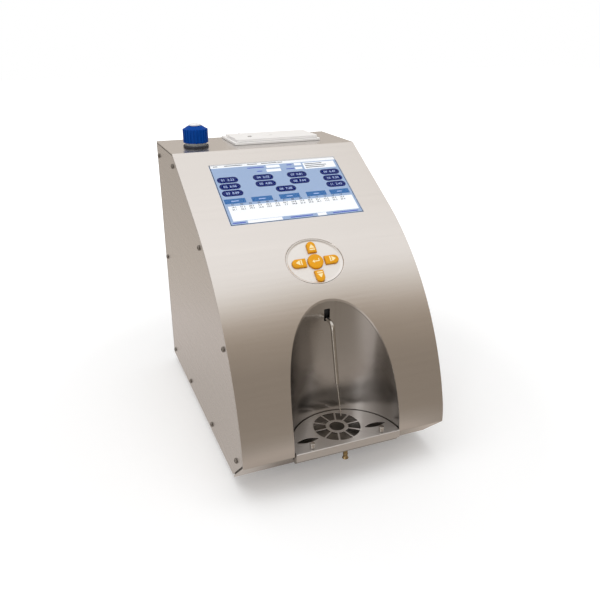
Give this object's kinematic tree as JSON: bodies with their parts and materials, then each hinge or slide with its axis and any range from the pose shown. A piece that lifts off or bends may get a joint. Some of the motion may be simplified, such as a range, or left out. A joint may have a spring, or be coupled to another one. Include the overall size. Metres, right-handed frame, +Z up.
{
  "type": "milk analyzer",
  "caption": "Stainless steel bench milk analyzer: sloping touch display, oval keypad, arched sample bay with tilting needle and slide-out drip tray, top printer, capped bottle.",
  "frame": {"origin": "on the floor under the middle of the bounding box, below the four rubber feet", "axes": "+X to the right seen from the front, +Y to the rear panel, +Z up"},
  "size_m": [0.2292, 0.3426, 0.3325],
  "materials": {
    "steel_sheet": "brushed stainless sheet",
    "bay_steel": "dark brushed stainless sheet",
    "polished_steel": "polished stainless",
    "brass": "dull brass",
    "black_rubber": "matte black rubber",
    "black_plastic": "matte black plastic",
    "screen_glass": "glossy touch panel",
    "screen": "lit light blue display",
    "circuit_board": "green board",
    "silver_plastic": "light grey plastic",
    "amber_keys": "amber yellow keys",
    "bottle_plastic": "translucent grey plastic",
    "blue_plastic": "blue ribbed plastic",
    "white_plastic": "off-white plastic",
    "aluminium": "satin aluminium",
    "paper": "white paper roll"
  },
  "bodies": {
    "case": {"front_cover": "steel_sheet", "side_panel_left": "steel_sheet", "side_panel_right": "steel_sheet", "rear_panel": "steel_sheet", "base_plate": "steel_sheet", "tube_bracket": "steel_sheet", "display_bracket": "steel_sheet", "pump_motor": "steel_sheet", "recess_liner": "bay_steel", "lid_hinge_pin": "polished_steel", "screw_row_left_front": "polished_steel", "screw_row_left_rear": "polished_steel", "screw_row_left_lower": "polished_steel", "screw_row_right_front": "polished_steel", "screw_row_right_rear": "polished_steel", "screw_row_right_lower": "polished_steel", "foot_front_left": "black_rubber", "foot_front_right": "black_rubber", "foot_rear_left": "black_rubber", "foot_rear_right": "black_rubber", "bottle_well": "black_plastic", "pump_head": "black_plastic", "power_inlet": "black_plastic", "touch_glass": "screen_glass", "lcd_module": "screen", "main_board": "circuit_board", "keypad_board": "circuit_board", "keypad_dish": "silver_plastic", "sample_hose": "bottle_plastic", "pump_hose": "bottle_plastic", "printer_body": "white_plastic", "pump_port": "white_plastic", "print_head": "aluminium", "ultrasonic_sensor": "aluminium", "power_supply": "aluminium", "serial_port": "aluminium", "data_port": "aluminium"},
    "tray": {"drip_tray": "steel_sheet", "tray_stud_left": "polished_steel", "tray_stud_right": "polished_steel", "drip_pan": "bay_steel", "drain_nozzle": "brass"},
    "sampler": {"tube_holder": "black_plastic", "tube_pivot_pin": "polished_steel", "sampling_tube": "polished_steel", "needle": "polished_steel"},
    "key_enter": {"key_enter": "amber_keys"},
    "key_right": {"key_right": "amber_keys"},
    "key_up": {"key_up": "amber_keys"},
    "key_left": {"key_left": "amber_keys"},
    "key_down": {"key_down": "amber_keys"},
    "lid": {"printer_lid": "white_plastic"},
    "feed_button": {"feed_button": "silver_plastic"},
    "platen": {"platen_roller": "black_rubber"},
    "paper": {"paper_roll": "paper"},
    "bottle": {"bottle": "bottle_plastic"},
    "cap_lifter": {"cap_disc": "white_plastic"},
    "cap": {"bottle_cap": "blue_plastic"},
    "rotor": {"pump_rotor": "white_plastic"},
    "rocker": {"power_switch": "black_plastic"}
  },
  "joints": [
    {"name": "tray_slide", "type": "slide", "parent": "case", "child": "tray", "axis": [0, -1, 0], "range_m": [0, 0.06]},
    {"name": "sampler_tilt", "type": "hinge", "parent": "case", "child": "sampler", "pos_m": [0, -0.09875, 0.164], "axis": [-1, 0, 0], "range_deg": [0, 20]},
    {"name": "key_enter_press", "type": "slide", "parent": "case", "child": "key_enter", "axis": [0, 0.6748, -0.738], "range_m": [0, 0.0012], "stiffness_N_per_m": 300},
    {"name": "key_right_press", "type": "slide", "parent": "case", "child": "key_right", "axis": [0, 0.6748, -0.738], "range_m": [0, 0.0012], "stiffness_N_per_m": 300},
    {"name": "key_up_press", "type": "slide", "parent": "case", "child": "key_up", "axis": [0, 0.6748, -0.738], "range_m": [0, 0.0012], "stiffness_N_per_m": 300},
    {"name": "key_left_press", "type": "slide", "parent": "case", "child": "key_left", "axis": [0, 0.6748, -0.738], "range_m": [0, 0.0012], "stiffness_N_per_m": 300},
    {"name": "key_down_press", "type": "slide", "parent": "case", "child": "key_down", "axis": [0, 0.6748, -0.738], "range_m": [0, 0.0012], "stiffness_N_per_m": 300},
    {"name": "lid_hinge", "type": "hinge", "parent": "case", "child": "lid", "pos_m": [0.0248, 0.15155, 0.3065], "axis": [-1, 0, 0], "range_deg": [0, 100]},
    {"name": "feed_press", "type": "slide", "parent": "lid", "child": "feed_button", "axis": [0, 0, -1], "range_m": [0, 0.0006], "stiffness_N_per_m": 200},
    {"name": "platen_spin", "type": "hinge", "parent": "lid", "child": "platen", "pos_m": [0.0248, 0.10875, 0.3015], "axis": [1, 0, 0], "continuous": true},
    {"name": "paper_spin", "type": "hinge", "parent": "case", "child": "paper", "pos_m": [0.0248, 0.13265, 0.2753], "axis": [1, 0, 0], "continuous": true},
    {"name": "bottle_lift", "type": "slide", "parent": "case", "child": "bottle", "axis": [0, 0, 1], "range_m": [0, 0.085]},
    {"name": "cap_lift", "type": "slide", "parent": "bottle", "child": "cap_lifter", "axis": [0, 0, 1], "range_m": [0, 0.0045]},
    {"name": "cap_turn", "type": "hinge", "parent": "cap_lifter", "child": "cap", "pos_m": [-0.076, 0.10675, 0.3302], "axis": [0, 0, 1], "range_deg": [0, 540]},
    {"name": "rotor_spin", "type": "hinge", "parent": "case", "child": "rotor", "pos_m": [0.001, -0.04825, 0.0368], "axis": [0, 1, 0], "continuous": true},
    {"name": "switch_rock", "type": "hinge", "parent": "case", "child": "rocker", "pos_m": [-0.0455, 0.16175, 0.065], "axis": [-1, 0, 0], "range_deg": [0, 16]}
  ],
  "couplings": [
    {"joint": "cap_turn", "follows": "cap_lift", "rad_per_m": 2094.4},
    {"joint": "platen_spin", "follows": "paper_spin", "ratio": -4}
  ]
}
